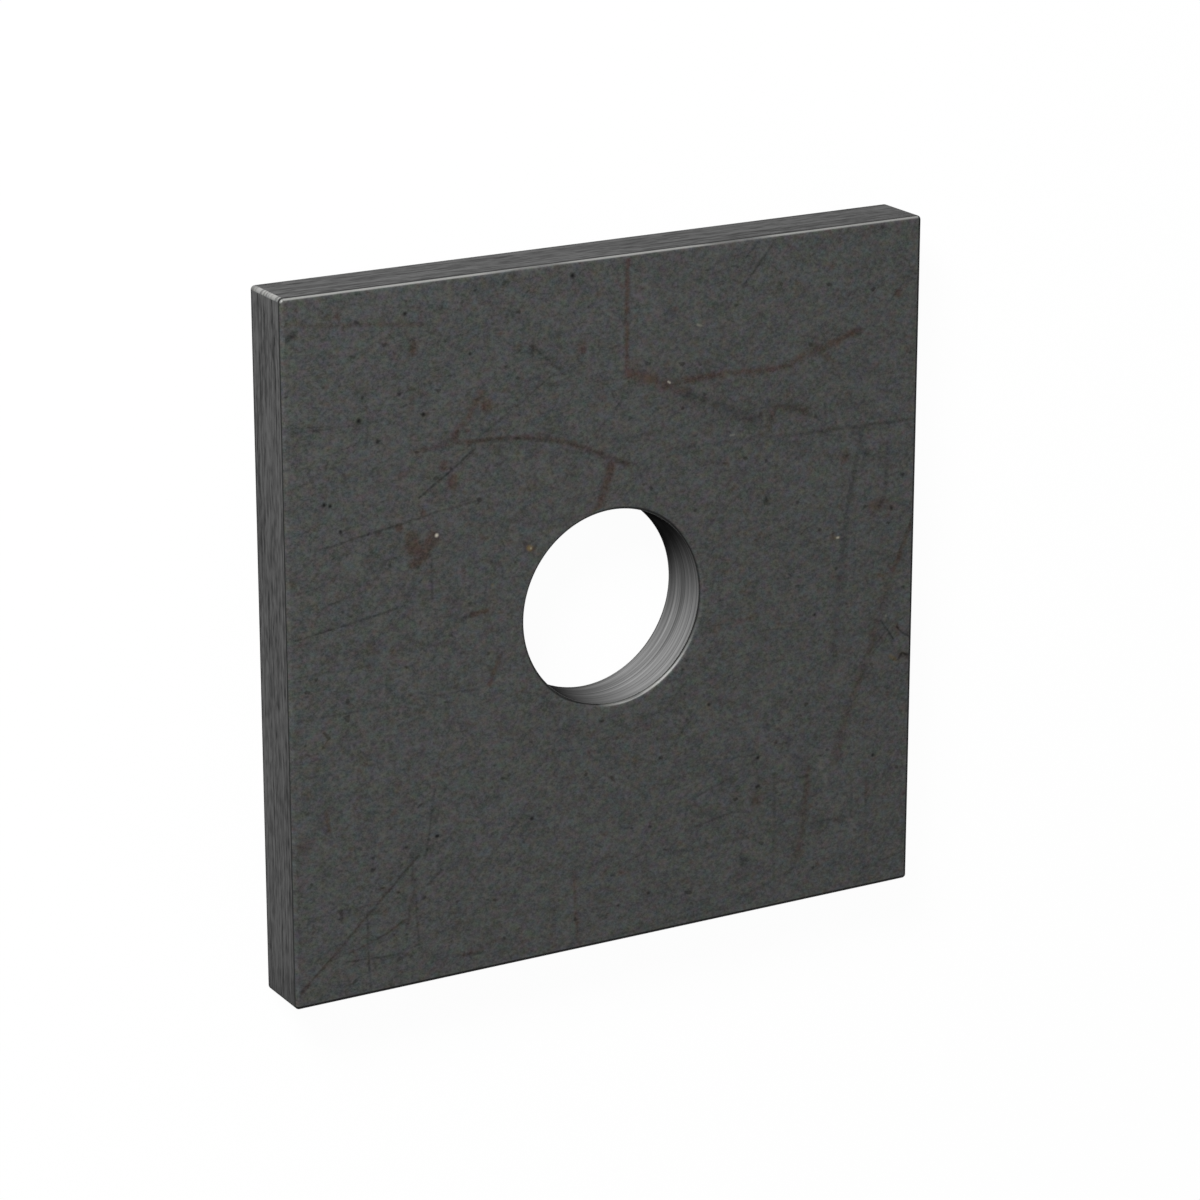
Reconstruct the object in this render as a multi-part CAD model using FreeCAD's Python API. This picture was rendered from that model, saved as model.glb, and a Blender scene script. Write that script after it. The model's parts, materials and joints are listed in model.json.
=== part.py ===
import FreeCAD, Part
import math
import os

# Bearing plate: a square of flat steel bar with one bolt hole through its middle.
# It lies under a nut or a bolt head and spreads the load over timber.
# Sizes are in millimetres. +Z runs along the bolt hole, out of the face that takes the nut.
# The origin is on the hole's axis, on the underside that bears on the timber.

# Driving dimensions
PLATE_WIDTH = 50.8  # along X, 2 in
PLATE_LENGTH = 50.8  # along Y, 2 in
PLATE_THICKNESS = 4.7625  # along Z, 3/16 in
BOLT_DIAMETER = 12.7  # 1/2 in
HOLE_CLEARANCE = 1.5875  # on the diameter, 1/16 in
EDGE_ROUND = 0.3  # on every outer edge
RIM_ROUND = 0.35  # on both rims of the hole

# Two rounds share the thickness of each wall, so one takes at most this part of it
ROUND_SHARE = 0.45

UP = FreeCAD.Vector(0, 0, 1)


def limited_round(radius):
    """The round's radius, held back where the plate is too thin for it."""
    return min(radius, ROUND_SHARE * PLATE_THICKNESS)


def cut_blank():
    """The rectangle cut from the bar, with all twelve edges rounded and a ball at every corner."""
    half_width = PLATE_WIDTH / 2
    half_length = PLATE_LENGTH / 2
    corners = [
        FreeCAD.Vector(-half_width, -half_length),
        FreeCAD.Vector(half_width, -half_length),
        FreeCAD.Vector(half_width, half_length),
        FreeCAD.Vector(-half_width, half_length),
    ]
    outline = Part.Face(Part.makePolygon(corners + corners[:1]))
    blank = outline.extrude(UP * PLATE_THICKNESS)
    return blank.makeFillet(limited_round(EDGE_ROUND), blank.Edges)


def with_bolt_hole(blank):
    """The blank with its bolt hole through the middle and both rims of the hole rounded."""
    hole_radius = (BOLT_DIAMETER + HOLE_CLEARANCE) / 2
    plate = blank.cut(Part.makeCylinder(hole_radius, PLATE_THICKNESS))
    round_walls = [face for face in plate.Faces if isinstance(face.Surface, Part.Cylinder)]
    hole_wall = next(wall for wall in round_walls if math.isclose(wall.Surface.Radius, hole_radius))
    rims = [edge for edge in hole_wall.Edges if edge.isClosed()]
    return plate.makeFillet(limited_round(RIM_ROUND), rims)


bearing_plate = with_bolt_hole(cut_blank())

os.makedirs("parts", exist_ok=True)
bearing_plate.exportStep("parts/bearing_plate.step")
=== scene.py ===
import json
import math
import bmesh
import bpy
from mathutils import Matrix, Vector


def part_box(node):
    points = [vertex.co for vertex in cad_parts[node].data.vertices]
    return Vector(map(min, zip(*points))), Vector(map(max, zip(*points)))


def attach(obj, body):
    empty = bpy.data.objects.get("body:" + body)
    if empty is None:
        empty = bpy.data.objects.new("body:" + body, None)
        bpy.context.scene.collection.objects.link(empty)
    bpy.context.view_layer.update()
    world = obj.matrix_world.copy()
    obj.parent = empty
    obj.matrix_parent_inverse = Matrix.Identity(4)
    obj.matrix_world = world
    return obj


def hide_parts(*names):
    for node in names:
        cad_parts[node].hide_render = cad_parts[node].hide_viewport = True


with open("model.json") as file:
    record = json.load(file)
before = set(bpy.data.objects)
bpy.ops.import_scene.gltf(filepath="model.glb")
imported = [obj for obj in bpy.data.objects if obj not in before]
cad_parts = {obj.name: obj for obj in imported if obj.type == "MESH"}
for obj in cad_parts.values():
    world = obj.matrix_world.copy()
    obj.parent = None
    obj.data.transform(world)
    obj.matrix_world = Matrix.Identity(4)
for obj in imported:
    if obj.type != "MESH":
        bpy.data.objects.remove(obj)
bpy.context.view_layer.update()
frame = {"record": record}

# Sizes are in metres, as in the frame, and MM turns millimetres into them
MM = 0.001

# The plate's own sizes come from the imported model
low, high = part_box("bearing_plate")
WIDTH, LENGTH, THICKNESS = high - low
bolt_hole = next(mount for mount in frame["record"]["mounts"] if mount["name"] == "bolt_hole")
HOLE_RADIUS = bolt_hole["dims"]["r_mm"] * MM
RIM_ROUND = (THICKNESS - bolt_hole["dims"]["length_mm"] * MM) / 2
EDGE_ROUND = 0.3 * MM

# How finely the mesh is divided
ROUND_STEPS = 12
SIDE_STEPS = 112
SIDE_ROWS = 40
HOLE_ROWS = 48
FACE_RINGS = 12

# Tool marks stand in from the true surface by at most this depth, and are this wide along X, Y and Z
SIDE_MARK_DEPTH = 0.005 * MM
SIDE_MARK_GRAIN = Vector((1.3, 1.3, 0.3)) * MM
HOLE_MARK_DEPTH = 0.006 * MM
HOLE_MARK_GRAIN = Vector((14, 14, 0.3)) * MM

# The grain of the scale is this deep
GRAIN_DEPTH = 0.01 * MM

# A face looks along an axis where its normal has more than this of it
FACING = 0.9999

# A face is upright where its normal has less than this of Z
UPRIGHT = 0.001

# Lengths closer than this are the same but for rounding
ROUNDING = 0.001 * MM

# A size times this reaches just past its own end
REACH = 1.01

# A round has begun, and ended, where the climb over it is past these shares of its radius
BEGUN = 0.01
ENDED = 0.999

# Edges that turn by less than this are shaded smooth
SMOOTH_ANGLE = math.radians(30)

# The camera stands where the photograph was taken from, and the plate's +Y is up in the picture
CAMERA_PLACE = Vector((-142.39, 92.11, 252.08)) * MM
CAMERA_TARGET = Vector((-1.121, 0.749, 4.741)) * MM
CAMERA_LENS = 127.6
CAMERA_SENSOR = 36.0
CAMERA_NEAREST = 10 * MM

# The key softbox stands beyond the plate's upper left. The fill stands low at the lower right, so far off
# that it is the weaker of the two on the plate. Each has its direction, distance, size and power, and whether
# the steel mirrors it. The fill isn't mirrored, because it would leave a haze on the face seen at a slant.
SOFTBOXES = {
    "key softbox": (Vector((-0.53, 0.655, 0.49)), 0.38, 0.12, 1.98, True),
    "fill softbox": (Vector((0.66, -0.72, 0.10)), 0.80, 0.14, 3.6, False),
}
SKY_LEVEL = 0.25
FLOOR_SIZE = 6.0
FLOOR_GLOW = 0.97

# The floor lies this far under the plate, so that the two do not share one plane
FLOOR_GAP = 0.01 * MM

# Marks on the nut's face, read from the photograph: width in mm, strength, and the points of the line in mm.
# One point alone is a spot. Rust and dark marks tint the scale, and pits, ochre and pale marks cover it.
RUST_MARKS = [
    (0.34, 1.2, [(1.1, 25.4), (1.0, 21.0), (1.0, 17.2)]),
    (0.90, 1.2, [(1.2, 17.0), (4.2, 15.7)]),
    (0.50, 1.3, [(4.2, 15.7), (6.0, 15.8), (9.0, 15.9)]),
    (0.42, 1.0, [(9.0, 15.9), (12.0, 15.7), (14.2, 15.8)]),
    (0.50, 1.15, [(14.2, 15.8), (15.5, 16.3), (17.5, 16.8), (20.2, 17.6)]),
    (0.80, 0.9, [(4.5, 15.5), (5.6, 15.0)]),
    (0.50, 0.6, [(17.2, 16.2), (18.3, 15.2), (18.4, 14.6)]),
    (0.60, 0.9, [(12.7, 11.6), (13.0, 12.6), (14.0, 12.9), (15.0, 12.6), (15.8, 12.2)]),
    (0.34, 1.0, [(-15.8, 13.7), (-12.3, 13.8), (-7.3, 13.5)]),
    (0.42, 0.9, [(-7.3, 13.5), (-3.9, 12.7), (-1.0, 11.4), (1.1, 10.4)]),
    (0.60, 1.4, [(-0.2, 10.6), (-0.8, 8.5), (-1.4, 7.2)]),
    (0.40, 1.2, [(25.2, 2.9), (24.6, 1.5), (24.1, 0.2), (23.6, -0.9)]),
    (0.80, 0.5, [(23.6, -0.9), (22.7, -3.4)]),
    (0.70, 0.8, [(22.2, -4.6), (21.9, -6.3)]),
    (0.65, 0.65, [(21.9, -6.3), (20.6, -9.3), (19.8, -11.5), (19.3, -13.0), (18.7, -15.0)]),
    (0.30, 0.8, [(24.0, -5.1), (24.1, -5.9)]),
    (0.36, 0.8, [(23.5, -7.5), (24.0, -7.8)]),
    (0.36, 0.8, [(24.4, -7.5), (25.1, -7.7)]),
    (0.60, 0.75, [(16.5, -15.0), (16.3, -17.5), (16.0, -19.5), (15.7, -21.8)]),
    (0.24, 0.55, [(21.6, -16.7), (21.6, -18.7)]),
    (0.60, 0.6, [(18.9, -19.5), (19.6, -19.6)]),
    (0.35, 1.8, [(-11.3, 1.3), (-10.2, 1.4)]),
    (0.40, 0.4, [(7.9, -2.5), (12.0, -2.6)]),
    (0.30, 0.9, [(-3.3, -19.4), (-3.2, -21.2), (-3.0, -24.6)]),
    (0.20, 0.5, [(-25.0, -24.1), (-22.6, -22.0), (-19.8, -19.4), (-17.5, -17.3), (-15.8, -15.7)]),
    (0.40, 0.9, [(-25.1, -24.2), (-24.4, -23.6)]),
    (0.22, 0.7, [(-20.5, -21.7), (-18.5, -21.1), (-16.9, -20.3)]),
    (0.36, 0.9, [(-12.2, -23.8), (-10.8, -23.8)]),
    (0.30, 0.9, [(-22.8, -11.2), (-22.6, -12.5)]),
    (0.36, 1.4, [(-10.0, -4.0), (-9.2, -2.1)]),
    (0.35, 0.7, [(-25.2, 23.7), (-22.9, 23.3), (-19.0, 22.9), (-15.0, 22.4)]),
    (0.50, 1.0, [(-10.4, 17.0), (-12.5, 14.3)]),
    (0.80, 1.9, [(-15.9, 7.6), (-15.9, 6.7), (-15.2, 6.4), (-14.6, 6.9), (-14.3, 7.3)]),
    (0.60, 1.5, [(-15.8, 5.7), (-14.8, 6.1)]),
    (0.50, 1.9, [(-16.9, 8.4)]),
    (0.45, 1.7, [(-15.0, 9.2)]),
    (0.45, 0.8, [(-18.4, 8.2)]),
    (0.80, 1.6, [(-10.0, 16.1)]),
    (0.70, 1.3, [(-12.6, 14.1)]),
    (0.60, 1.9, [(-13.4, 12.3)]),
    (0.70, 1.5, [(-12.7, 11.3), (-12.6, 10.8)]),
    (0.60, 1.1, [(-16.6, 12.1)]),
    (0.50, 0.9, [(-22.0, 23.8)]),
    (0.45, 0.8, [(-21.3, 24.1), (-21.3, 23.6)]),
    (0.60, 1.0, [(-15.6, 21.2), (-15.7, 20.5)]),
    (0.45, 0.8, [(-15.8, 17.4), (-15.8, 16.5)]),
    (0.50, 0.8, [(-17.5, -0.3)]),
    (0.45, 1.2, [(-6.9, 5.5), (-6.5, 5.3)]),
    (0.80, 1.0, [(19.2, 8.4)]),
    (0.90, 1.0, [(21.9, 4.2), (23.0, 4.3)]),
    (0.50, 0.8, [(18.3, 2.5)]),
    (0.60, 1.8, [(23.5, 19.9)]),
    (0.50, 1.5, [(-2.5, 19.5), (-2.5, 19.0)]),
    (0.70, 0.9, [(-24.8, -13.2), (-24.2, -13.4)]),
    (0.40, 0.8, [(-21.6, -13.1)]),
    (0.40, 0.8, [(-19.5, -18.6)]),
    (0.90, 1.0, [(12.0, -16.7)]),
    (0.40, 0.8, [(17.4, -22.7)]),
]
DARK_MARKS = [
    (0.26, 0.4, [(-12.3, 13.8), (-7.3, 13.5), (-3.9, 12.7), (-1.0, 11.4), (1.1, 10.4)]),
    (0.24, 0.3, [(4.5, 10.9), (9.0, 10.9), (15.0, 10.6)]),
    (0.26, 0.55, [(15.0, 10.6), (20.0, 10.5), (25.4, 10.4)]),
    (0.26, 0.6, [(-6.4, 19.8), (-3.9, 17.5)]),
    (0.60, 1.0, [(-6.4, 19.7)]),
    (0.80, 0.6, [(6.0, 14.7), (8.5, 13.6), (11.5, 12.1)]),
    (0.60, 0.35, [(12.8, 13.1), (13.8, 12.9), (15.8, 12.2)]),
    (0.18, 0.9, [(-15.3, 10.3), (-12.5, 12.1), (-11.0, 13.2)]),
    (0.16, 0.45, [(-11.9, 13.2), (-8.0, 15.6), (-4.6, 17.8)]),
    (0.16, 0.6, [(-23.2, 7.7), (-20.5, 8.1)]),
    (0.18, 0.6, [(-20.5, 8.1), (-17.0, 8.6), (-14.0, 9.1)]),
    (0.16, 0.5, [(-14.0, 9.1), (-10.5, 9.5)]),
    (0.16, 0.65, [(-25.0, 1.6), (-20.5, 2.2), (-16.5, 2.8)]),
    (0.16, 0.4, [(-22.8, 3.6), (-20.0, 4.3)]),
    (0.16, 0.4, [(-25.0, 4.8), (-22.6, 5.2)]),
    (0.16, 0.4, [(-25.0, -1.1), (-19.0, -1.0)]),
    (0.20, 0.5, [(-24.8, 16.2), (-22.3, 16.1)]),
    (0.16, 0.4, [(-24.8, 16.5), (-22.4, 16.3)]),
    (0.16, 0.3, [(-22.3, 16.1), (-16.0, 16.2)]),
    (0.30, 0.6, [(-22.6, 14.9), (-22.0, 15.1)]),
    (0.20, 0.38, [(-25.4, -4.2), (-20.0, -4.2)]),
    (0.18, 0.25, [(-20.0, -4.2), (-10.5, -4.1)]),
    (0.18, 0.5, [(-25.0, -24.1), (-22.6, -22.0), (-19.8, -19.4), (-17.5, -17.3), (-15.8, -15.7)]),
    (0.18, 0.5, [(-15.2, -15.8), (-14.8, -14.0), (-14.6, -12.0), (-14.4, -11.0)]),
    (0.34, 0.5, [(-16.3, -15.5), (-16.1, -18.3), (-16.7, -20.5)]),
    (0.16, 0.5, [(-16.2, -16.3), (-16.0, -19.0), (-15.8, -22.3)]),
    (0.18, 0.6, [(-19.8, -19.7), (-19.8, -22.0), (-19.6, -25.2)]),
    (0.16, 0.5, [(-22.8, -22.2), (-20.5, -21.7), (-18.5, -21.1), (-16.9, -20.3)]),
    (0.18, 0.65, [(-21.5, -22.5), (-19.0, -22.7), (-17.0, -22.8)]),
    (0.26, 0.6, [(-14.9, -17.9), (-14.0, -17.1)]),
    (0.50, 0.5, [(-17.4, -23.2)]),
    (0.20, 0.6, [(-17.2, -22.7), (-16.4, -23.1)]),
    (0.26, 0.7, [(-12.2, -23.9), (-10.8, -24.0)]),
    (0.22, 0.8, [(-21.9, -18.6), (-21.2, -18.7)]),
    (0.28, 0.8, [(-21.8, -18.7), (-21.8, -19.4)]),
    (0.36, 0.55, [(20.6, 10.4), (20.0, 7.0), (19.4, 4.0)]),
    (0.55, 0.4, [(19.4, 4.0), (19.1, 0.0), (18.7, -3.0), (18.5, -8.0)]),
    (0.40, 0.5, [(22.9, 8.9), (22.7, 5.2), (22.3, 4.2)]),
    (0.16, 0.4, [(25.2, 2.9), (24.4, 1.5), (23.9, 0.0)]),
    (0.15, 1.0, [(22.6, -4.6), (23.7, -6.2)]),
    (0.16, 1.1, [(24.0, -5.3), (24.4, -5.8), (25.2, -6.3)]),
    (0.17, 1.1, [(23.8, -7.8), (24.2, -7.9), (24.5, -7.4), (25.2, -7.7)]),
    (0.18, 0.6, [(-14.4, 5.8), (-14.4, 3.0)]),
    (0.28, 0.9, [(-12.2, 1.1), (-11.3, 1.3)]),
    (0.30, 0.6, [(-9.8, 4.9), (-9.2, 4.7)]),
    (1.00, 0.35, [(-12.8, 2.6)]),
    (0.80, 0.35, [(-22.2, 5.7)]),
    (0.60, 0.5, [(-18.7, -0.3)]),
    (0.50, 0.8, [(-13.6, -11.0)]),
    (0.20, 0.75, [(13.4, 25.4), (10.4, 22.0)]),
    (0.50, 0.9, [(-25.2, 22.5), (-24.6, 22.8)]),
    (0.30, 0.3, [(0.0, 12.3), (3.7, 12.3)]),
    (0.22, 0.5, [(13.8, -15.6), (16.5, -15.6)]),
    (0.30, 0.35, [(4.5, -19.4), (16.0, -19.4), (21.5, -19.4)]),
    (0.25, 0.38, [(13.6, -15.0), (13.6, -24.0)]),
    (0.22, 0.3, [(20.3, -16.5), (20.3, -19.5)]),
    (0.22, 0.25, [(21.6, -16.7), (21.6, -24.5)]),
    (0.18, 0.5, [(6.0, -15.7), (8.8, -14.9), (12.1, -13.4)]),
    (0.18, 0.6, [(6.8, -17.8), (9.5, -17.3), (11.0, -17.2)]),
    (0.20, 0.4, [(0.0, -24.9), (9.2, -24.6), (15.8, -22.5)]),
    (0.45, 0.5, [(-17.9, -2.5), (-17.8, -3.3)]),
    (0.90, 0.7, [(10.9, -21.2)]),
    (0.70, 0.35, [(12.0, -16.7)]),
    (0.60, 0.7, [(14.7, -12.6)]),
    (0.50, 0.5, [(17.1, -12.7)]),
    (0.55, 0.8, [(21.1, 8.4)]),
    (0.60, 0.6, [(19.2, 8.4)]),
    (0.60, 1.0, [(12.6, 6.0)]),
]
PIT_MARKS = [
    (0.32, 1.0, [(-19.8, 16.35)]),
    (0.28, 1.0, [(-14.9, 16.15)]),
    (0.28, 1.0, [(-22.5, 10.85)]),
    (0.25, 1.0, [(-22.05, 10.7)]),
    (0.34, 1.0, [(-3.3, 24.4)]),
    (0.22, 0.8, [(-11.3, 19.9)]),
    (0.26, 1.0, [(12.1, -13.4)]),
    (0.22, 0.8, [(12.0, -15.65), (12.2, -15.6)]),
    (0.24, 0.9, [(22.1, -15.0)]),
    (0.20, 1.0, [(-14.3, -14.5), (-14.2, -14.5)]),
    (0.28, 0.9, [(-6.7, -14.6)]),
    (0.24, 0.6, [(-19.4, -16.05), (-19.2, -16.05)]),
    (0.24, 0.9, [(-21.3, 8.8)]),
    (0.20, 0.9, [(16.8, -3.2)]),
    (0.22, 0.7, [(24.5, -2.3)]),
    (0.28, 0.8, [(23.3, 3.9)]),
    (0.26, 0.8, [(7.9, -8.6)]),
    (0.30, 0.7, [(24.2, 6.3)]),
    (0.26, 0.9, [(-16.2, 23.3)]),
    (0.24, 0.8, [(-19.5, 17.9)]),
    (0.26, 0.8, [(-16.7, 17.8)]),
    (0.30, 0.8, [(-18.4, 14.7)]),
    (0.24, 0.7, [(-16.7, -14.9)]),
]
OCHRE_MARKS = [
    (0.32, 0.8, [(-6.8, 5.45), (-6.7, 5.4)]),
    (0.24, 0.3, [(-9.7, 3.2)]),
    (0.30, 0.3, [(23.5, -7.5), (23.9, -7.8)]),
    (0.22, 0.3, [(18.5, 2.35), (18.8, 2.35)]),
]
PALE_MARKS = [
    (0.22, 0.9, [(-14.0, 7.45)]),
    (0.14, 0.3, [(-6.65, 5.4)]),
    (0.13, 0.45, [(4.35, 15.9), (4.5, 15.8)]),
    (0.16, 0.15, [(6.7, 19.7), (7.0, 19.6)]),
    (0.16, 0.15, [(9.5, 11.3), (9.8, 11.3)]),
    (0.14, 0.5, [(18.65, 2.35), (18.75, 2.35)]),
    (0.16, 0.12, [(23.0, -4.3)]),
    (0.40, 0.05, [(17.5, -14.6), (17.5, -15.1)]),
    (0.40, 0.05, [(18.0, -15.8), (18.0, -16.5)]),
    (0.50, 0.04, [(20.5, -20.0), (20.5, -21.0)]),
]

# The quarters of the nut's face, by their sides of the hole's axis along X and Y. Each is its own material,
# with the marks that come within the margin (mm) of it, because one material can't hold them all.
QUARTERS = {"upper left": (-1, 1), "upper right": (1, 1), "lower left": (-1, -1), "lower right": (1, -1)}
QUARTER_MARGIN = 1.5

# The rolls drew the patterns of the scale out by this along X, Y and Z
ROLLED = (1.2, 1, 1)

# The patterns of the scale lie askew to the plate, so that their own cells do not line up with it
SKEW = (math.radians(33), math.radians(21), math.radians(37))

# Sizes of the patterns in mm, along X, Y and Z where there are three. A stretch is how many times as long
# as wide a line is. The real grain, grit, scratches and tool lines are some hundredths of a millimetre wide.
# That is too fine to show, so they are drawn this coarse.
GRAIN_SIZE = 0.3
GRIT_SIZE = (6, 6, 0.28)
SCRATCH_SIZE = (9.0, 0.22, 9.0)
SHEAR_LINE_SIZE = 0.18
SHEAR_LINE_STRETCHES = (90.0, 6.0)
PUNCH_LINE_SIZE = 0.16
PUNCH_LINE_STRETCH = 80

# Sizes in mm of the patterns that are as large as they look in the photograph
CLOUD_SIZE = 1.3
COLOUR_SIZE = 0.55
BLOTCH_SIZE = 1.1
SPECK_SIZE = 0.5
PATCH_SIZE = 7.0
WANDER_SIZE = 1.5
WANDER = 0.14
GAP_SIZE = 0.8

# Where a Mix node keeps its two values, its two colours and its mixed colour
FIRST_VALUE = 2
SECOND_VALUE = 3
FIRST = 6
SECOND = 7
MIXED = 2

# What makes a Mix node mix two colours, or tint the first with the second
MIX = {"data_type": "RGBA"}
TINT = {"data_type": "RGBA", "blend_type": "MULTIPLY"}


def linear(hex_colour):
    """An sRGB hex colour as the linear colour that a shader takes."""
    shares = [int(hex_colour[at:at + 2], 16) / 255 for at in (1, 3, 5)]
    curved = [share / 12.92 if share <= 0.04045 else ((share + 0.055) / 1.055) ** 2.4 for share in shares]
    return (*curved, 1.0)


def add(tree, kind, inputs=None, output=0, **settings):
    """Adds a node with its settings, sets or links its inputs, and gives back the output asked for."""
    made = tree.nodes.new("ShaderNode" + kind)
    for setting, value in settings.items():
        setattr(made, setting, value)
    for name, value in (inputs or {}).items():
        if isinstance(value, bpy.types.NodeSocket):
            tree.links.new(value, made.inputs[name])
        else:
            made.inputs[name].default_value = value
    return made.outputs[output] if made.outputs else None


def pick(piece, wanted, kind="edges"):
    """Selects the wanted corners, edges or faces of the piece in edit mode, and nothing else."""
    mesh = bmesh.from_edit_mesh(piece.data)
    bpy.ops.mesh.select_all(action="DESELECT")
    for part in getattr(mesh, kind):
        if wanted(part):
            part.select_set(True)
    bmesh.update_edit_mesh(piece.data)


def near(a, b):
    """True where two lengths are the same but for rounding."""
    return abs(a - b) < ROUNDING


def runs_along(edge, axis):
    """True for an edge that lies along the axis and is longer than a step of a round."""
    run = edge.verts[1].co - edge.verts[0].co
    return run.length > EDGE_ROUND and near(abs(run[axis]), run.length)


def from_axis(point):
    """How far a point is from the bolt hole's axis."""
    return math.hypot(point.x, point.y)


def in_face(point, height):
    """True for a point that belongs in the flat face at that height, inside its square border."""
    border = max(abs(point.x) - WIDTH / 2, abs(point.y) - LENGTH / 2) + EDGE_ROUND
    return abs(point.z - height) < REACH * RIM_ROUND and border < ROUNDING


def on_rim(edge, height):
    """True for an edge of the hole's sharp rim at that height."""
    return all(near(vert.co.z, height) and near(from_axis(vert.co), HOLE_RADIUS) for vert in edge.verts)


def model_plate():
    """The plate: a block with its edges rounded, and its faces opened and joined to the wall of the hole."""
    bpy.ops.object.select_all(action="DESELECT")
    bpy.ops.mesh.primitive_cube_add(size=1, location=(0, 0, THICKNESS / 2), scale=(WIDTH, LENGTH, THICKNESS))
    plate = bpy.context.object
    plate.name = "plate"
    bpy.ops.object.transform_apply(location=True, rotation=False, scale=True)
    bpy.ops.object.mode_set(mode="EDIT")
    bpy.ops.mesh.select_mode(type="EDGE")
    bpy.ops.mesh.select_all(action="SELECT")
    bpy.ops.mesh.bevel(offset=EDGE_ROUND, segments=ROUND_STEPS, profile=0.5, affect="EDGES")

    # The long edges are divided first, so that each side is columns, and then the columns into rows
    pick(plate, lambda edge: runs_along(edge, 0) or runs_along(edge, 1))
    bpy.ops.mesh.subdivide(number_cuts=SIDE_STEPS - 1)
    pick(plate, lambda edge: runs_along(edge, 2))
    bpy.ops.mesh.subdivide(number_cuts=SIDE_ROWS - 1)

    # Both faces are opened, and an open tube is set in for the hole's wall, a little short of both faces
    bpy.ops.mesh.select_mode(type="FACE")
    pick(plate, lambda face: abs(face.normal.z) > FACING, "faces")
    bpy.ops.mesh.delete(type="FACE")
    bpy.ops.mesh.primitive_cylinder_add(
        vertices=4 * SIDE_STEPS, radius=HOLE_RADIUS, depth=THICKNESS - 2 * RIM_ROUND,
        end_fill_type="NOTHING", location=(0, 0, THICKNESS / 2))

    # Each square border is bridged to the tube's ring, and what the bridge made is pressed flat into the face
    bpy.ops.mesh.select_mode(type="EDGE")
    for height in (0, THICKNESS):
        pick(plate, lambda edge: not edge.is_manifold and abs(edge.verts[0].co.z - height) < 2 * RIM_ROUND)
        bpy.ops.mesh.bridge_edge_loops(number_cuts=FACE_RINGS)
        pick(plate, lambda vert: in_face(vert.co, height), "verts")
        bpy.ops.transform.resize(value=(1, 1, 0), center_override=(0, 0, height))

    # The sharp rims are rounded, and the wall between them is divided into rows
    pick(plate, lambda edge: on_rim(edge, 0) or on_rim(edge, THICKNESS))
    bpy.ops.mesh.bevel(offset=RIM_ROUND, segments=ROUND_STEPS, profile=0.5, affect="EDGES")
    pick(plate, lambda edge: runs_along(edge, 2) and near(from_axis(edge.verts[0].co), HOLE_RADIUS))
    bpy.ops.mesh.subdivide(number_cuts=HOLE_ROWS - 1)

    bpy.ops.mesh.select_all(action="SELECT")
    bpy.ops.mesh.normals_make_consistent(inside=False)
    bpy.ops.object.mode_set(mode="OBJECT")
    return plate


def in_quarter(quarter):
    """The test that finds the faces in one quarter of the nut's face."""
    side_x, side_y = QUARTERS[quarter]

    def wanted(face):
        middle = face.calc_center_median()
        return face.normal.z > FACING and middle.x * side_x > 0 and middle.y * side_y > 0

    return wanted


def on_side(face):
    """True for a face of the four cut sides."""
    sideways = max(abs(face.normal.x), abs(face.normal.y)) > FACING
    return sideways and from_axis(face.calc_center_median()) > 2 * HOLE_RADIUS


def on_wall(face):
    """True for a face of the hole's wall."""
    upright = abs(face.normal.z) < UPRIGHT
    return upright and from_axis(face.calc_center_median()) < REACH * HOLE_RADIUS


def mark_with_tool(plate, name, wanted, grain, depth):
    """Presses a tool's marks into the wanted faces, as hollows whose mean size on each axis is the grain."""
    bpy.ops.object.mode_set(mode="EDIT")
    bpy.ops.mesh.select_mode(type="FACE")
    pick(plate, wanted, "faces")
    plate.vertex_groups.new(name=name)
    bpy.ops.object.vertex_group_assign()
    bpy.ops.object.mode_set(mode="OBJECT")

    bpy.ops.object.empty_add(location=(0, 0, 0))
    ruler = bpy.context.object
    ruler.scale = grain
    bpy.ops.object.select_all(action="DESELECT")
    plate.select_set(True)
    bpy.context.view_layer.objects.active = plate
    pattern = bpy.data.textures.new(name, "CLOUDS")
    pattern.noise_scale = 1.0
    pattern.noise_depth = 0
    displace = plate.modifiers.new(name, "DISPLACE")
    displace.texture = pattern
    displace.texture_coords = "OBJECT"
    displace.texture_coords_object = ruler
    displace.vertex_group = name
    displace.strength = depth
    displace.mid_level = 1.0
    bpy.ops.object.modifier_apply(modifier=name)
    bpy.data.objects.remove(ruler)


def ramp(value, start, end):
    """0 at the start, 1 at the end, and straight between."""
    return min(max((value - start) / (end - start), 0.0), 1.0)


def crown(climb):
    """How strong a round's painted highlight is, as the climb goes from 0 at the flat face to 1 at the wall.
    """
    turned = math.degrees(math.asin(min(climb, 1.0)))
    return ramp(turned, 28, 42) * ramp(turned, 72, 60)


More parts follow.
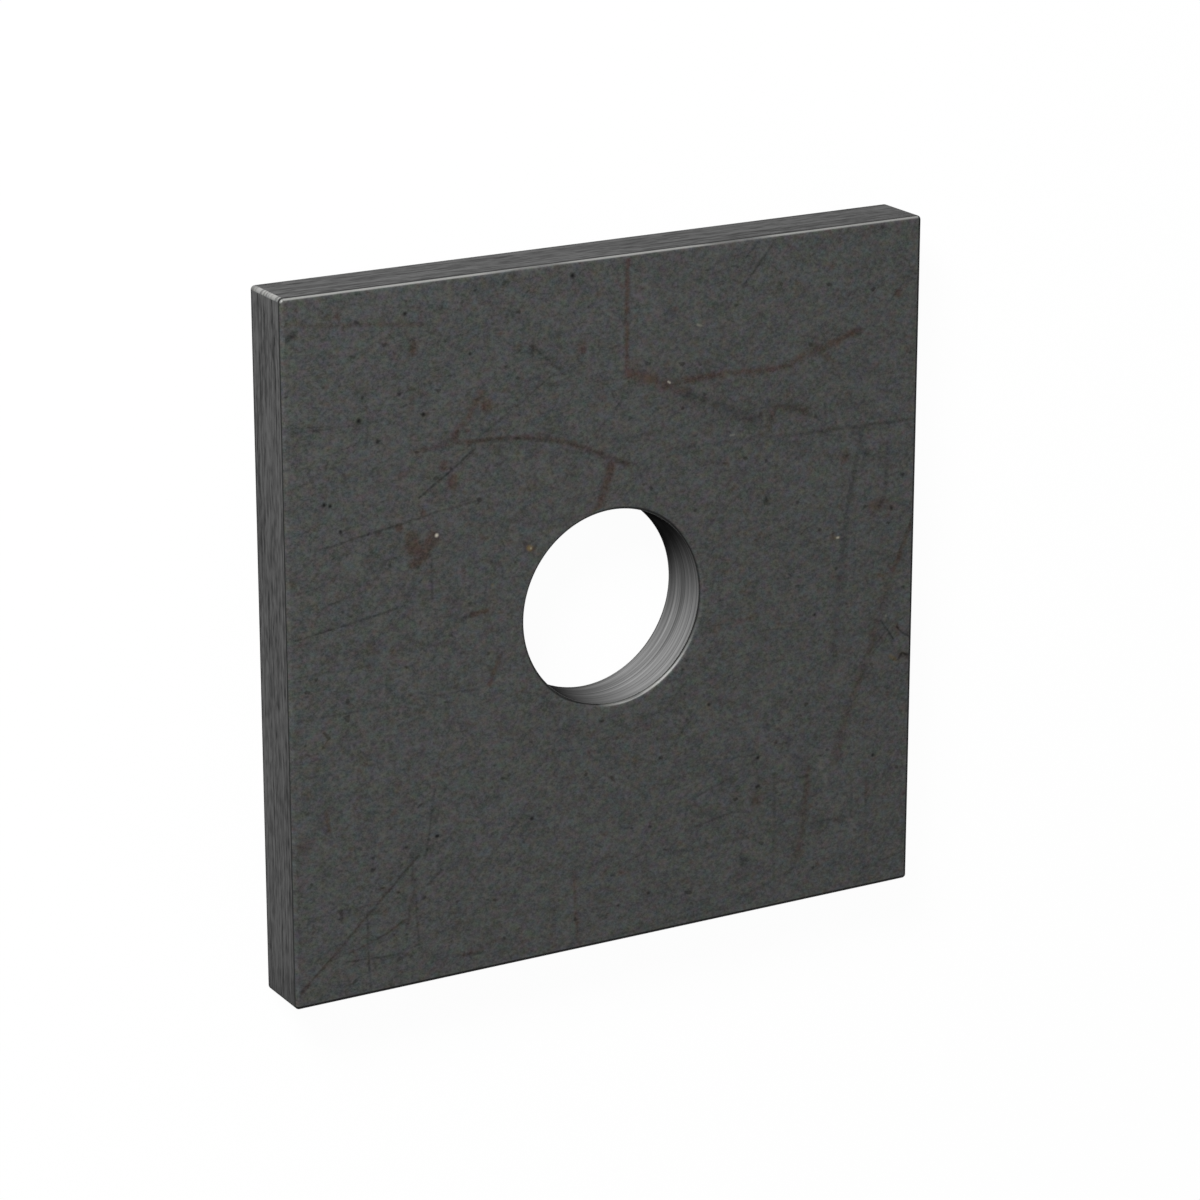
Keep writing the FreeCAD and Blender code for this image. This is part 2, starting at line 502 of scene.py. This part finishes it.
def painted_light_and_shade(spot):
    """How strongly a place carries painted light, as a highlight or a lit wall, and how strongly painted
    shade, each from 0 to 1.

    Both are as the photograph shows them, and angles round the hole are in degrees from +X.
    """
    left = ramp(-spot.x, WIDTH / 2 - EDGE_ROUND, WIDTH / 2)
    right = ramp(spot.x, WIDTH / 2 - EDGE_ROUND, WIDTH / 2)
    top = ramp(spot.y, LENGTH / 2 - EDGE_ROUND, LENGTH / 2)
    bottom = ramp(-spot.y, LENGTH / 2 - EDGE_ROUND, LENGTH / 2)
    front = spot.z > THICKNESS - REACH * RIM_ROUND
    back = spot.z < REACH * RIM_ROUND
    if from_axis(spot) < HOLE_RADIUS + REACH * RIM_ROUND:
        around = math.degrees(math.atan2(spot.y, spot.x))
        to_wall = 1 - ramp(from_axis(spot), HOLE_RADIUS, HOLE_RADIUS + RIM_ROUND)
        if to_wall < ENDED:
            # The front rim's crown has a painted highlight at its lower right
            reach = (0.80 - 0.33 * ramp(around, -80, -66)) * ramp(around, -100, -84) * ramp(around, -16, -60)
            # A painted shade line lies beside the wall, broken at the lower right and wider at the upper left
            wide = max(ramp(around, 35, 60), ramp(around, -108, -125))
            broken = 0.8 * ramp(around, -100, -90) * ramp(around, -45, -58)
            faint = 0.25 * ramp(around, -30, -5) * ramp(around, 30, 15)
            line = (1 - broken - faint - 0.2 * wide) * ramp(to_wall, 0.75 - 0.43 * wide, 0.9 - 0.4 * wide)
            return front * reach * crown(to_wall), line
        # The wall has painted light at its lower right, less far round deep down, and the same again across
        # the hole
        # Painted shade, as the rim's cast shadow, darkens the rest of the wall, and its back end a little
        around = (around + 130) % 180 - 130
        deep = 1 - spot.z / THICKNESS
        start = ramp(around, -126 + 10 * deep, -72 + 10 * deep)
        early = 0.40 - 0.30 * deep
        late = 0.88 - early
        end = 1 - early * ramp(around, -55, -10) - late * ramp(around, -3 - 30 * deep, 45 - 26 * deep)
        end -= 0.12 * ramp(around, 42, 50)
        return start * end * (0.7 + 0.3 * ramp(spot.z, RIM_ROUND, 2 * RIM_ROUND)), 0.0
    if min(left, top) > BEGUN:
        # The upper left corner has a painted highlight through the thickness, with a painted shade line
        # before its front end
        turned = math.hypot(left, top)
        if spot.z > THICKNESS - EDGE_ROUND:
            return 0.37 * crown(turned), ramp(turned, 0.9, 0.96)
        front_end = ramp(spot.z, THICKNESS - EDGE_ROUND, THICKNESS - 1.6 * EDGE_ROUND)
        ends = front_end * ramp(spot.z, 0, 2 * EDGE_ROUND)
        return (0.33 + 0.67 * top) * ends, 1 - ends
    if top > BEGUN and front and right < BEGUN:
        # The upper edge has a painted highlight along the front, weaker to the right, and a painted shade
        # line by the top side
        return crown(top) * (0.65 - 0.11 * ramp(spot.x, 0, WIDTH / 2)), ramp(top, 0.85, 0.93)
    if left > BEGUN and front and bottom < BEGUN:
        # The left edge has only a painted shade line, next to the left side
        return 0.0, ramp(left, 0.92, 0.98)
    across = max(left, right)
    along = max(top, bottom)
    if min(across, along) > BEGUN or max(across, along) > BEGUN and (front or back):
        # The other rounds are dark all over with painted shade
        return 0.0, 1.0
    # The left side darkens towards its lower end
    return 0.0, 0.3 * ramp(-spot.y, LENGTH / 2 - 4 * MM, LENGTH / 2) * (left > ENDED)


def new_material(name):
    """A material with an empty tree, and the place on the plate for its patterns.

    The place is in millimetres, so that a pattern's scale is 1 over the size of its cells in millimetres.
    """
    material = bpy.data.materials.new(name)
    material.use_nodes = True
    tree = material.node_tree
    tree.nodes.clear()
    spot = add(tree, "TexCoord", output="Object")
    place = add(tree, "Mapping", {"Vector": spot, "Scale": (1 / MM, 1 / MM, 1 / MM)})
    return material, tree, place


def stroke_nodes():
    """How strongly a place is marked so far, or by one more straight stroke.

    A stroke has half its strength at half its width from its middle, and none at its whole width.
    """
    group = bpy.data.node_groups.new("stroke", "ShaderNodeTree")
    for name in ("Place", "Start", "Along", "Along over square length"):
        group.interface.new_socket(name, in_out="INPUT", socket_type="NodeSocketVector")
    for name in ("Width", "Strength", "So far"):
        group.interface.new_socket(name, in_out="INPUT", socket_type="NodeSocketFloat")
    group.interface.new_socket("Mark", in_out="OUTPUT", socket_type="NodeSocketFloat")
    given = group.nodes.new("NodeGroupInput").outputs
    offset = add(group, "VectorMath", {0: given["Place"], 1: given["Start"]}, operation="SUBTRACT")
    share = add(group, "VectorMath", {0: offset, 1: given["Along over square length"]}, "Value",
                operation="DOT_PRODUCT")
    held = add(group, "Clamp", {"Value": share})
    nearest = add(group, "VectorMath", {0: given["Along"], "Scale": held}, operation="SCALE")
    gap = add(group, "VectorMath", {0: offset, 1: nearest}, "Value", operation="DISTANCE")
    mark = add(group, "MapRange", {"Value": gap, "From Max": given["Width"], "To Min": given["Strength"],
                                   "To Max": 0.0}, interpolation_type="SMOOTHSTEP")
    most = add(group, "Math", {0: given["So far"], 1: mark}, operation="MAXIMUM")
    group.links.new(most, group.nodes.new("NodeGroupOutput").inputs["Mark"])
    return group


def all_marks(tree, place, marks, quarter):
    """How strongly a place in one quarter of the nut's face carries any mark of a list."""
    total = 0.0
    for width, strength, points in marks:
        for first, last in zip(points, points[1:] or points):
            ends = zip(first, last, QUARTERS[quarter])
            reach = min(max(start * side, end * side) for start, end, side in ends)
            if reach < -QUARTER_MARGIN:
                continue
            start = Vector((*first, THICKNESS / MM))
            along = Vector((*last, THICKNESS / MM)) - start
            total = add(tree, "Group", {
                "Place": place, "Start": start, "Along": along,
                "Along over square length": along / (along.length_squared or 1.0),
                "Width": width, "Strength": strength, "So far": total}, node_tree=stroke)
    return total


def mill_scale(quarter=None):
    """Hot-rolled mill scale: a dark, dull grey skin with a fine grain, brown blotches and faint scratches.

    A quarter of the nut's face has its own marks too. The scale goes over the rounds, where painted
    shade darkens it in places and a painted highlight of bright steel lies on it in others.
    """
    name = "Hot-rolled mill scale"
    material, tree, place = new_material(f"{name}, {quarter}" if quarter else name)
    rolled = add(tree, "Mapping", {"Vector": place, "Scale": ROLLED}, vector_type="TEXTURE")
    skewed = add(tree, "Mapping", {"Vector": rolled, "Rotation": SKEW})
    grain = add(tree, "TexNoise", {"Vector": skewed, "Scale": 1 / GRAIN_SIZE, "Detail": 2.0,
                                   "Roughness": 1.0})
    cloud = add(tree, "TexNoise", {"Vector": skewed, "Scale": 1 / CLOUD_SIZE, "Detail": 1.0})
    mottle = add(tree, "Mix", {0: 0.20, FIRST_VALUE: grain, SECOND_VALUE: cloud}, data_type="FLOAT")
    spread = add(tree, "MapRange", {"Value": mottle, "From Min": 0.36, "From Max": 0.64})
    colour = add(tree, "Mix", {0: spread, FIRST: linear("#373837"), SECOND: linear("#4f504f")}, MIXED, **MIX)

    # Red, green and blue each drift a little by themselves, so that the grey is cooler here and warmer there
    tint = add(tree, "TexNoise", {"Vector": skewed, "Scale": 1 / COLOUR_SIZE, "Detail": 1.0}, "Color")
    shift = add(tree, "VectorMath", {0: tint, 1: (0.48, 0.34, 0.48), 2: (0.76, 0.83, 0.76)},
                operation="MULTIPLY_ADD")
    colour = add(tree, "VectorMath", {0: colour, 1: shift}, operation="MULTIPLY")

    # Brown blotches and small dark specks are scattered over it
    blotch = add(tree, "TexNoise", {"Vector": skewed, "Scale": 1 / BLOTCH_SIZE, "Detail": 2.0,
                                    "Roughness": 0.7})
    brown = add(tree, "MapRange", {"Value": blotch, "From Min": 0.62, "From Max": 0.78, "To Max": 0.5})
    colour = add(tree, "Mix", {0: brown, FIRST: colour, SECOND: linear("#e2cfbd")}, MIXED, **TINT)
    dot = add(tree, "TexNoise", {"Vector": skewed, "Scale": 1 / SPECK_SIZE, "Detail": 0.0})
    speck = add(tree, "MapRange", {"Value": dot, "From Min": 0.76, "From Max": 0.86, "To Max": 0.6})
    colour = add(tree, "Mix", {0: speck, FIRST: colour, SECOND: linear("#8a8682")}, MIXED, **TINT)

    # Fine handling scratches lie in three directions, each in patches of its own
    patches = add(tree, "TexNoise", {"Vector": place, "Scale": 1 / PATCH_SIZE, "Detail": 1.0}, "Color")
    patch = add(tree, "SeparateColor", {"Color": patches}).node.outputs
    for direction, where in ((12, patch["Red"]), (46, patch["Green"]), (-3, patch["Blue"])):
        lined = add(tree, "Mapping", {"Vector": place, "Rotation": (0, 0, math.radians(direction)),
                                      "Scale": SCRATCH_SIZE}, vector_type="TEXTURE")
        lines = add(tree, "TexNoise", {"Vector": lined, "Scale": 1.0, "Detail": 1.0})
        scratch = add(tree, "MapRange", {"Value": lines, "From Min": 0.60, "From Max": 0.74})
        held = add(tree, "MapRange", {"Value": where, "From Min": 0.45, "From Max": 0.65, "To Max": 0.25})
        faint = add(tree, "Math", {0: scratch, 1: held}, operation="MULTIPLY")
        colour = add(tree, "Mix", {0: faint, FIRST: colour, SECOND: linear("#9c9c9a")}, MIXED, **TINT)

    if quarter:
        # The marks wander a little and are broken up by the grain
        wander = add(tree, "TexNoise", {"Vector": place, "Scale": 1 / WANDER_SIZE, "Detail": 2.0}, "Color")
        sway = add(tree, "VectorMath", {0: wander, 1: (WANDER, WANDER, 0), 2: (-WANDER / 2, -WANDER / 2, 0)},
                   operation="MULTIPLY_ADD")
        bent = add(tree, "VectorMath", {0: place, 1: sway}, operation="ADD")
        patchy = add(tree, "TexNoise", {"Vector": place, "Scale": 1 / GAP_SIZE, "Detail": 3.0,
                                        "Roughness": 0.8})
        broken = add(tree, "MapRange", {"Value": patchy, "From Min": 0.38, "From Max": 0.6, "To Min": 0.45})
        for marks, tone in ((RUST_MARKS, "#ebd1c8"), (DARK_MARKS, "#9c9c9a")):
            marked = all_marks(tree, bent, marks, quarter)
            marked = add(tree, "Math", {0: marked, 1: broken}, operation="MULTIPLY")
            colour = add(tree, "Mix", {0: marked, FIRST: colour, SECOND: linear(tone)}, MIXED, **TINT)
        for marks, tone in ((PIT_MARKS, "#101010"), (OCHRE_MARKS, "#6a5c3e"), (PALE_MARKS, "#b4afa2")):
            marked = all_marks(tree, place, marks, quarter)
            colour = add(tree, "Mix", {0: marked, FIRST: colour, SECOND: linear(tone)}, MIXED, **MIX)

    # The rounds are darkened by painted shade and lit by a painted highlight of bright metal where their
    # painted levels say so, and grit breaks up the highlight
    black = add(tree, "Attribute", output="Fac", attribute_name="blackened")
    rubbed = add(tree, "Attribute", output="Fac", attribute_name="rubbed")
    crossing = add(tree, "Mapping", {"Vector": place, "Scale": GRIT_SIZE}, vector_type="TEXTURE")
    grit = add(tree, "TexNoise", {"Vector": crossing, "Scale": 1.0, "Detail": 1.0})
    grit_share = add(tree, "MapRange", {"Value": grit, "From Min": 0.36, "From Max": 0.5, "To Min": 0.35})
    # The painted highlight, broken by grit, is bright metal
    painted_highlight = add(tree, "Math", {0: rubbed, 1: grit_share}, operation="MULTIPLY")
    # Painted shade makes the rounds dark where its level says so
    colour = add(tree, "Mix", {0: black, FIRST: colour, SECOND: linear("#181818")}, MIXED, **MIX)
    colour = add(tree, "Mix", {0: painted_highlight, FIRST: colour, SECOND: linear("#aeaeac")}, MIXED, **MIX)
    bump = add(tree, "Bump", {"Height": grain, "Strength": 0.3, "Distance": GRAIN_DEPTH})
    surface = add(tree, "BsdfPrincipled", {"Base Color": colour, "Metallic": painted_highlight, "Roughness": 0.5,
                                           "Specular IOR Level": 0.05, "Normal": bump})
    add(tree, "OutputMaterial", {"Surface": surface})
    return material


def sheared_side():
    """Sheared steel: a mid grey cut face, with long faint lines and short dark streaks along the edge."""
    material, tree, place = new_material("Sheared steel")
    streaks = []
    for stretch in SHEAR_LINE_STRETCHES:
        along = add(tree, "Mapping", {"Vector": place, "Scale": (stretch, stretch, 1)}, vector_type="TEXTURE")
        streaks.append(add(tree, "TexNoise", {"Vector": along, "Scale": 1 / SHEAR_LINE_SIZE, "Detail": 2.0}))
    streak = add(tree, "Mix", {0: 0.55, FIRST_VALUE: streaks[0], SECOND_VALUE: streaks[1]}, data_type="FLOAT")
    spread = add(tree, "MapRange", {"Value": streak, "From Min": 0.35, "From Max": 0.60})
    colour = add(tree, "Mix", {0: spread, FIRST: linear("#2a2a2a"), SECOND: linear("#5a5a5a")}, MIXED, **MIX)
    # Painted shade darkens the side along its rounds, and the left side grows darker towards its lower end
    black = add(tree, "Attribute", output="Fac", attribute_name="blackened")
    colour = add(tree, "Mix", {0: black, FIRST: colour, SECOND: linear("#181818")}, MIXED, **MIX)
    surface = add(tree, "BsdfPrincipled", {"Base Color": colour, "Roughness": 0.55,
                                           "Specular IOR Level": 0.03})
    add(tree, "OutputMaterial", {"Surface": surface})
    return material


def punched_wall():
    """Punched steel: the wall of the hole, lined round by the punch, pale with painted light and dark with
    painted shade.
    """
    material, tree, place = new_material("Punched steel")
    rubbed = add(tree, "Attribute", output="Fac", attribute_name="rubbed")
    stretch = PUNCH_LINE_STRETCH
    around = add(tree, "Mapping", {"Vector": place, "Scale": (stretch, stretch, 1)}, vector_type="TEXTURE")
    line = add(tree, "TexNoise", {"Vector": around, "Scale": 1 / PUNCH_LINE_SIZE, "Detail": 1.0,
                                  "Roughness": 0.7})
    spread = add(tree, "MapRange", {"Value": line, "From Min": 0.3, "From Max": 0.7})
    bright = add(tree, "Mix", {0: spread, FIRST: linear("#5f5f5f"), SECOND: linear("#949494")}, MIXED, **MIX)
    # Where the painted light is missing, the wall takes a dark colour as painted shade
    colour = add(tree, "Mix", {0: rubbed, FIRST: linear("#272727"), SECOND: bright}, MIXED, **MIX)
    surface = add(tree, "BsdfPrincipled", {"Base Color": colour, "Roughness": 0.5, "Specular IOR Level": 0.0})
    add(tree, "OutputMaterial", {"Surface": surface})
    return material


def seen_directly(tree):
    """1 for rays that carry the background to the picture, straight or by a mirror, and 0 for other light."""
    path = add(tree, "LightPath", output="Is Camera Ray").node.outputs
    straight = add(tree, "Math", {0: path["Is Camera Ray"], 1: path["Is Glossy Ray"]}, operation="MAXIMUM")
    return add(tree, "Math", {0: straight, 1: path["Is Transmission Ray"]}, operation="MAXIMUM")


def pale_floor():
    """Pale studio floor: white to the eye with the plate's faint shadow, and grey to the light it sends back.

    It has no underside, so that the plate can be seen from below.
    """
    material, tree, _ = new_material("Pale studio floor")
    glow = add(tree, "Emission", {"Color": linear("#ffffff"), "Strength": FLOOR_GLOW})
    shaded = add(tree, "BsdfDiffuse", {"Color": linear("#303030")})
    white = add(tree, "AddShader", {0: glow, 1: shaded})
    grey = add(tree, "BsdfDiffuse", {"Color": linear("#6c6c6c")})
    upper = add(tree, "MixShader", {0: seen_directly(tree), 1: grey, 2: white})
    under = add(tree, "NewGeometry", output="Backfacing")
    surface = add(tree, "MixShader", {0: under, 1: upper, 2: add(tree, "BsdfTransparent")})
    add(tree, "OutputMaterial", {"Surface": surface})
    return material


# The plate
plate = model_plate()
stroke = stroke_nodes()
finishes = [
    (mill_scale(), lambda face: True),
    *[(mill_scale(quarter), in_quarter(quarter)) for quarter in QUARTERS],
    (sheared_side(), on_side),
    (punched_wall(), on_wall),
]
bpy.ops.object.mode_set(mode="EDIT")
bpy.ops.mesh.select_mode(type="FACE")
for number, (material, wanted) in enumerate(finishes):
    plate.data.materials.append(material)
    pick(plate, wanted, "faces")
    plate.active_material_index = number
    bpy.ops.object.material_slot_assign()
bpy.ops.object.mode_set(mode="OBJECT")
bpy.ops.object.shade_smooth_by_angle(angle=SMOOTH_ANGLE)

# Each corner keeps how strongly it carries painted light and painted shade, for the materials to read
painted_levels = [painted_light_and_shade(vert.co) for vert in plate.data.vertices]
for number, name in enumerate(("rubbed", "blackened")):
    levels = plate.data.attributes.new(name, "FLOAT", "POINT")
    levels.data.foreach_set("value", [pair[number] for pair in painted_levels])

mark_with_tool(plate, "shear marks", on_side, SIDE_MARK_GRAIN, SIDE_MARK_DEPTH)
mark_with_tool(plate, "punch marks", on_wall, HOLE_MARK_GRAIN, HOLE_MARK_DEPTH)
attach(plate, "root")
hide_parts("bearing_plate")

# The studio
bpy.ops.mesh.primitive_plane_add(size=FLOOR_SIZE, location=(0, 0, -FLOOR_GAP))
floor = bpy.context.object
floor.name = "studio floor"
floor.data.materials.append(pale_floor())

world = bpy.data.worlds.new("Studio")
bpy.context.scene.world = world
world.use_nodes = True
world.node_tree.nodes.clear()
dim = add(world.node_tree, "Background", {"Color": linear("#ffffff"), "Strength": SKY_LEVEL})
white = add(world.node_tree, "Background", {"Color": linear("#ffffff"), "Strength": 1.0})
sky = add(world.node_tree, "MixShader", {0: seen_directly(world.node_tree), 1: dim, 2: white})
add(world.node_tree, "OutputWorld", {"Surface": sky})

for name, (direction, distance, size, power, mirrored) in SOFTBOXES.items():
    bpy.ops.object.light_add(type="AREA", location=direction.normalized() * distance)
    softbox = bpy.context.object
    softbox.name = name
    softbox.rotation_euler = direction.to_track_quat("Z", "Y").to_euler()
    softbox.data.size = size
    softbox.data.energy = power
    softbox.visible_camera = False
    softbox.visible_glossy = mirrored

bpy.ops.object.camera_add()
camera = bpy.context.object
camera.name = "photograph camera"
back = (CAMERA_PLACE - CAMERA_TARGET).normalized()
across = Vector((0, 1, 0)).cross(back).normalized()
axes = Matrix((across, back.cross(across), back)).transposed()
camera.matrix_world = Matrix.Translation(CAMERA_PLACE) @ axes.to_4x4()
camera.data.lens = CAMERA_LENS
camera.data.sensor_width = CAMERA_SENSOR
camera.data.clip_start = CAMERA_NEAREST
bpy.context.scene.camera = camera
bpy.context.scene.view_settings.view_transform = "Standard"
